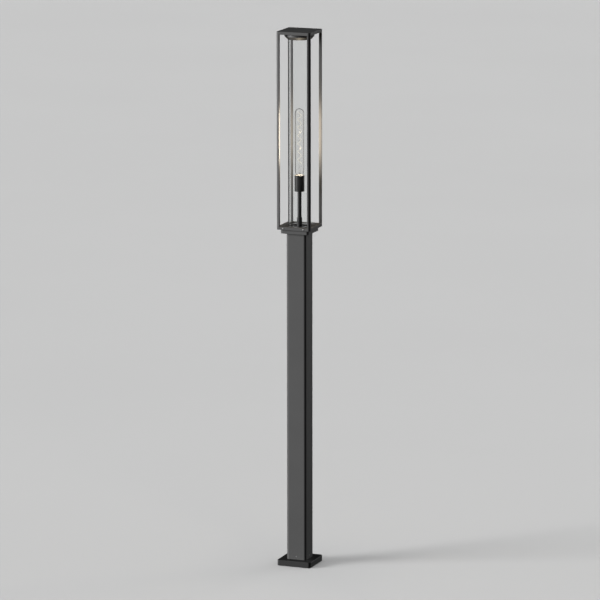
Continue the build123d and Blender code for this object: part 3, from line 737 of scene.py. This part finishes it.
# ---------------------------------------------------------------- stem and lamp holder
def make_collar():
    """The clamp collar at the foot of the stem, with the hole of its grub screw at the back."""
    inner, outer = 6.8 * MM, high("stem_collar").x
    edge, brow = 0.2 * MM, 1.2 * MM
    screw_z, screw_hole = 1176 * MM, 1.6 * MM
    outline = ring_outline("stem_collar", inner, [edge, brow, edge, 0])
    hole = bmesh.new()
    bore(hole, (0, inner - MM, screw_z), (0, outer + MM, screw_z), screw_hole)
    finish_piece("collar", cut(turned(outline), hole), ["stem_collar"], "post")


def make_stem():
    inner, edge = 5.2 * MM, 0.2 * MM
    outline = ring_outline("stem_tube", inner, [0, edge, edge, 0])
    finish_piece("stem_pipe", turned(outline), ["stem_tube"], "post")


def make_sleeve():
    """The lamp holder's outer sleeve: a cup with a hole for the stem's rod."""
    bottom, top, outer = extent("holder_sleeve")
    wall, hole = 1.2 * MM, 5.1 * MM
    inner_edge, shoulder, rim = 0.2 * MM, 1.4 * MM, 0.5 * MM
    outline = soften(
        [
            (hole, bottom),
            (outer, bottom),
            (outer, top),
            (outer - wall, top),
            (outer - wall, bottom + wall),
            (hole, bottom + wall),
        ],
        [inner_edge, shoulder, rim, rim, 0, 0],
    )
    finish_piece("sleeve", turned(outline), ["holder_sleeve"], "post")


def make_liner():
    wall, outer_edge, inner_edge = 1.2 * MM, 0.4 * MM, 0.5 * MM
    inner = high("holder_liner").x - wall
    outline = ring_outline("holder_liner", inner, [0, outer_edge, inner_edge, 0])
    finish_piece("ceramic_liner", turned(outline), ["holder_liner"], "post")


THREAD_PITCH = 3.629 * MM
THREAD_RUN_OUT = 1.2 * MM


def threaded_row(radius, depth, height):
    """Points round the axis on a right-hand thread that rises outwards by a depth."""
    row = []
    for k in range(ROUND_SEGMENTS):
        swing = math.cos(TURN * (height / THREAD_PITCH - k / ROUND_SEGMENTS))
        reach = radius + depth * (0.5 + 0.5 * swing)
        angle = TURN * k / ROUND_SEGMENTS
        row.append((reach * math.cos(angle), reach * math.sin(angle), height))
    return row


def thread_depth(height, start, end, full):
    """The thread's depth at a height, running out at both ends."""
    share = min((height - start) / THREAD_RUN_OUT, (end - height) / THREAD_RUN_OUT, 1)
    return full * max(share, 0)


def make_shell():
    """The threaded shell inside the holder, rolled from thin sheet."""
    bottom, top = low("holder_shell").z, high("holder_shell").z
    inner, outer, depth = 13.15 * MM, 13.40 * MM, 0.4 * MM
    count = 110
    heights = [bottom + (top - bottom) * k / count for k in range(count + 1)]
    rows = [threaded_row(inner, thread_depth(z, bottom, top, depth), z) for z in heights]
    rows += [threaded_row(outer, thread_depth(z, bottom, top, depth), z) for z in heights[::-1]]
    finish_piece("threaded_shell", skin(rows, True), ["holder_shell"], "post")


# ---------------------------------------------------------------- lamp
def make_tip():
    """The drop of solder under the lamp's cap."""
    bottom, top, radius = extent("bulb_tip")
    outline = [(0, bottom)]
    steps = 8
    for k in range(1, steps + 1):
        swing = TURN / 4 * k / steps
        outline.append((radius * math.sin(swing), bottom + (top - bottom) * (1 - math.cos(swing))))
    outline.append((0, top))
    finish_piece("solder_tip", turned(outline, closed=False, segments=48), ["bulb_tip"], "lamp_foot")


def make_insulator():
    """The dark glass between the tip and the cap, flared like a dish."""
    bottom, top, radius = extent("bulb_insulator")
    foot, steps, flare = 6 * MM, 6, 1.5
    outline = [(0, bottom), (foot, bottom)]
    for k in range(1, steps + 1):
        share = k / steps
        outline.append((foot + (radius - foot) * share, bottom + (top - bottom) * share ** flare))
    outline.append((0, top))
    finish_piece("glass_insulator", turned(outline, closed=False), ["bulb_insulator"], "lamp_foot")


def make_cap():
    """The lamp's threaded cap, rolled from thin sheet."""
    bottom, top = low("bulb_cap").z, high("bulb_cap").z
    hole, valley, sheet, full_depth = 9 * MM, 12.2 * MM, 0.35 * MM, 0.8 * MM
    start, end = bottom + 1.6 * MM, bottom + 18 * MM
    outside = [
        (hole, bottom, 0),
        (11.2 * MM, bottom, 0),
        (11.8 * MM, bottom + 0.3 * MM, 0),
        (valley, bottom + 1 * MM, 0),
    ]
    count = 84
    for k in range(count + 1):
        z = start + (end - start) * k / count
        outside.append((valley, z, thread_depth(z, start, end, full_depth)))
    outside += [
        (valley, bottom + 18.6 * MM, 0),
        (12.4 * MM, bottom + 19.4 * MM, 0),
        (12.75 * MM, bottom + 20.2 * MM, 0),
        (12.8 * MM, top, 0),
    ]
    rows = [threaded_row(r, depth, z) for r, z, depth in outside]
    rows += [threaded_row(r - sheet, depth, max(z, bottom + sheet)) for r, z, depth in outside[:0:-1]]
    rows.append(threaded_row(hole, 0, bottom + sheet))
    finish_piece("threaded_cap", skin(rows, True), ["bulb_cap"], "lamp")


def smooth(share):
    """A share from 0 to 1 that starts and ends gently."""
    return share * share * (3 - 2 * share)


def envelope_outline(inset):
    """Half of the tube lamp's glass from the tip down to the neck, set in by a thickness."""
    bottom, top, radius = extent("bulb_envelope")
    hidden_neck, neck = 11.7 * MM, 12.2 * MM
    dome = top - radius
    shoulder, waist, hem = bottom + 34 * MM, bottom + 15 * MM, bottom + 11 * MM
    dome_steps, wall_steps, shoulder_steps, neck_steps = 16, 21, 14, 4
    reach = radius - inset
    outline = [(0, dome + reach)]
    for k in range(1, dome_steps + 1):
        swing = TURN / 4 * k / dome_steps
        outline.append((reach * math.sin(swing), dome + reach * math.cos(swing)))
    for k in range(1, wall_steps + 1):
        outline.append((reach, dome + (shoulder - dome) * k / wall_steps))
    for k in range(1, shoulder_steps + 1):
        share = k / shoulder_steps
        outline.append((reach + (neck - radius) * smooth(share), shoulder + (waist - shoulder) * share))
    for k in range(1, neck_steps + 1):
        share = k / neck_steps
        outline.append((neck - inset + (hidden_neck - neck) * smooth(share), waist + (hem - waist) * share))
    outline.append((hidden_neck - inset, bottom))
    return outline


def make_envelope():
    glass = 0.9 * MM
    outline = envelope_outline(0) + envelope_outline(glass)[::-1]
    mesh = turned(outline, closed=False, segments=128)
    let_light_through(finish_piece("lamp_glass", mesh, ["bulb_envelope"], "lamp"))


ROD_RADIUS = 1.1 * MM


def make_lamp_stem():
    """The glass stem inside the lamp: a hollow trumpet, a pinch above it and a thin rod up the spiral."""
    bottom, top = low("bulb_stem").z, high("bulb_stem").z
    pinch, hollow = bottom + 30 * MM, bottom + 23 * MM
    neck, bell, glass = 2.7 * MM, 7.9 * MM, 0.8 * MM
    bead, bead_steps, bell_steps = 1.3 * ROD_RADIUS, 5, 10
    outline = [(0, top)]
    for k in range(1, bead_steps + 1):
        swing = TURN / 4 * k / bead_steps
        outline.append((bead * math.sin(swing), top - bead * (1 - math.cos(swing))))
    outline += [
        (ROD_RADIUS, top - 2.4 * MM),
        (ROD_RADIUS, bottom + 44 * MM),
        (2.4 * MM, bottom + 40 * MM),
        (neck, pinch),
    ]
    for k in range(1, bell_steps + 1):
        share = k / bell_steps
        outline.append((neck + bell * share ** 3, pinch + (bottom - pinch) * share))
    for k in range(bell_steps, 2, -1):
        share = k / bell_steps
        outline.append((neck - glass + bell * share ** 3, pinch + (bottom - pinch) * share))
    outline.append((0, hollow))
    mesh = turned(outline, closed=False, segments=64)
    let_light_through(finish_piece("lamp_stem", mesh, ["bulb_stem"], "lamp"))


SPIRAL_RADIUS = 5.9 * MM
SPIRAL_PITCH = 27 * MM
STRAND = 0.75 * MM


def spiral_points(bottom, top):
    """Points up the spiral, close enough together to look round."""
    count = 280
    points = []
    for k in range(count + 1):
        height = bottom + (top - bottom) * k / count
        angle = TURN * (height - bottom) / SPIRAL_PITCH
        points.append(Vector((SPIRAL_RADIUS * math.cos(angle), SPIRAL_RADIUS * math.sin(angle), height)))
    return points


def make_spiral():
    """One glowing strand wound in a long open spiral."""
    points = spiral_points(low("filament").z + STRAND, high("filament").z - STRAND)
    piece = finish_piece("spiral_strand", tube(points, STRAND), ["filament"], "lamp")
    piece.visible_shadow = False


def make_spiral_wires():
    """The wires that carry the strand: two from the pinch, one at its top and two on the way."""
    bottom, top = low("filament").z + STRAND, high("filament").z - STRAND
    points = spiral_points(bottom, top)
    foot, head = points[0], points[-1]
    pinch = low("bulb_stem").z + 40 * MM
    inside, outside = pinch - 3 * MM, pinch + 3 * MM
    half_rod, bend = 0.5 * ROD_RADIUS, 3 * MM
    across, up = Vector((head.x, head.y, 0)).normalized(), Vector((0, 0, 1))
    runs = [
        [(2 * MM, 0, inside), (bend, 0, outside), (5 * MM, 0, bottom - MM), foot],
        [(-2 * MM, 0, inside), (-bend, 0, outside), (-4 * MM, 0, pinch + 8 * MM)],
        [across * half_rod + up * (top - MM), across * bend + up * (top - 0.4 * MM), head],
    ]
    for turns in (2, 4):
        z = bottom + turns * SPIRAL_PITCH
        runs.append([(half_rod, 0, z - MM), (bend, 0, z - 0.5 * MM), (SPIRAL_RADIUS, 0, z)])
    wires = bmesh.new()
    for run in runs:
        tube(run, 0.35 * MM, wires)
    finish_piece("spiral_wires", wires, ["filament_supports"], "lamp")


make_base_cover()
make_anchor_plate()
make_post()
make_post_screws()
make_tray()
make_floor_plate()
make_floor_screws()
make_bottom_ring()
make_corner_bars()
make_side_screws()
make_top_plate()
make_top_disc()
make_gaskets()
make_glass_cylinder()
make_collar()
make_stem()
make_sleeve()
make_liner()
make_shell()
make_tip()
make_insulator()
make_cap()
make_envelope()
make_lamp_stem()
make_spiral()
make_spiral_wires()

# ---------------------------------------------------------------- floor and light
FLOOR_REACH = 150
WORLD_LIGHT = 0.06
WORLD_SHOWN = 0.63


def make_floor():
    """A plain pale floor that reaches past every view.

    It throws no light back up, which would flatten the dark post.
    """
    corners = ((-1, -1), (1, -1), (1, 1), (-1, 1))
    mesh = bmesh.new()
    mesh.faces.new([mesh.verts.new((FLOOR_REACH * x, FLOOR_REACH * y, 0)) for x, y in corners])
    data = bpy.data.meshes.new("floor")
    mesh.to_mesh(data)
    mesh.free()
    tree, shader = new_material("floor")
    tree.links.new(tones(tree, noise_at(tree, 0.6), grey(0.33), grey(0.335)), shader.inputs["Base Color"])
    shader.inputs["Roughness"].default_value = 0.9
    shader.inputs["Specular IOR Level"].default_value = 0.1
    data.materials.append(MATERIALS["floor"])
    floor = bpy.data.objects.new("floor", data)
    floor.visible_diffuse = False
    floor.visible_glossy = False
    bpy.context.scene.collection.objects.link(floor)


def make_world():
    """Even dim light from all round. Seen straight or through glass alone, it has the floor's pale tone."""
    world = bpy.data.worlds.new("studio")
    world.use_nodes = True
    tree = world.node_tree
    light, shown = tree.nodes["Background"], tree.nodes.new("ShaderNodeBackground")
    light.inputs["Color"].default_value = (0.97, 0.985, 1.0, 1)
    light.inputs["Strength"].default_value = WORLD_LIGHT
    shown.inputs["Color"].default_value = (0.985, 0.99, 1.0, 1)
    shown.inputs["Strength"].default_value = WORLD_SHOWN
    path = tree.nodes.new("ShaderNodeLightPath")
    seen = None
    for output, operation in (
        ("Is Camera Ray", "ADD"),
        ("Is Transmission Ray", "ADD"),
        ("Diffuse Depth", "SUBTRACT"),
        ("Glossy Depth", "SUBTRACT"),
    ):
        step = tree.nodes.new("ShaderNodeMath")
        step.operation = operation
        step.inputs[0].default_value = -0.5
        if seen:
            tree.links.new(seen, step.inputs[0])
        tree.links.new(path.outputs[output], step.inputs[1])
        seen = step.outputs[0]
    above_zero = tree.nodes.new("ShaderNodeMath")
    above_zero.operation = "GREATER_THAN"
    above_zero.inputs[1].default_value = 0
    mix = tree.nodes.new("ShaderNodeMixShader")
    tree.links.new(seen, above_zero.inputs[0])
    tree.links.new(above_zero.outputs[0], mix.inputs[0])
    tree.links.new(light.outputs[0], mix.inputs[1])
    tree.links.new(shown.outputs[0], mix.inputs[2])
    tree.links.new(mix.outputs[0], tree.nodes["World Output"].inputs["Surface"])
    bpy.context.scene.world = world


def all_but_glass():
    """Light for all but the clear pieces and the strand, whose gleams would break into white specks."""
    left_out = bpy.data.collections.new("glass_without_glare")
    for name in ("drawn_glass_tube", "lamp_glass", "lamp_stem", "spiral_strand"):
        left_out.objects.link(bpy.data.objects[name])
    for member in left_out.collection_objects:
        member.light_linking.link_state = "EXCLUDE"
    return left_out


def floor_alone():
    """Light for the floor and nothing else."""
    listed = bpy.data.collections.new("floor_only")
    listed.objects.link(bpy.data.objects["floor"])
    return listed


def soft_sun(name, azimuth, elevation, spread_angle, strength, receivers):
    """Soft light from one side, even over the whole floor. It lights and gleams, but isn't seen itself."""
    data = bpy.data.lights.new(name, "SUN")
    data.angle = math.radians(spread_angle)
    data.energy = strength
    lamp = bpy.data.objects.new(name, data)
    turn, tilt = math.radians(azimuth), math.radians(elevation)
    away = Vector((math.sin(turn) * math.cos(tilt), -math.cos(turn) * math.cos(tilt), math.sin(tilt)))
    lamp.location = away * 5
    lamp.rotation_euler = away.to_track_quat("Z", "Y").to_euler()
    lamp.visible_camera = False
    lamp.visible_transmission = False
    lamp.light_linking.receiver_collection = receivers
    bpy.context.scene.collection.objects.link(lamp)


def make_lamp_light(receivers):
    """Small warm lights along the spiral, which the shaded strand alone would give too noisily."""
    bottom, top = low("filament").z, high("filament").z
    count = 8
    for k in range(count):
        data = bpy.data.lights.new("glow_%d" % k, "POINT")
        data.energy = 0.45
        data.color = (1.0, 0.86, 0.66)
        data.shadow_soft_size = 12 * MM
        glow = bpy.data.objects.new("glow_%d" % k, data)
        glow.location = (0, 0, bottom + (top - bottom) * (k + 0.5) / count)
        glow.visible_camera = False
        glow.visible_transmission = False
        glow.light_linking.receiver_collection = receivers
        glow.parent = frame["bodies"]["lamp"]
        bpy.context.scene.collection.objects.link(glow)


make_floor()
make_world()
OBJECT_AND_FLOOR = all_but_glass()
FLOOR_ONLY = floor_alone()
soft_sun("key", azimuth=-54, elevation=10, spread_angle=26, strength=9.5, receivers=OBJECT_AND_FLOOR)
soft_sun("back_fill", azimuth=148, elevation=12, spread_angle=44, strength=1.35, receivers=OBJECT_AND_FLOOR)
soft_sun("floor_fill", azimuth=0, elevation=90, spread_angle=120, strength=3.2, receivers=FLOOR_ONLY)
make_lamp_light(OBJECT_AND_FLOOR)

scene = bpy.context.scene
scene.view_settings.view_transform = "Standard"
scene.view_settings.look = "None"
if hasattr(scene, "cycles"):
    scene.cycles.use_denoising = True
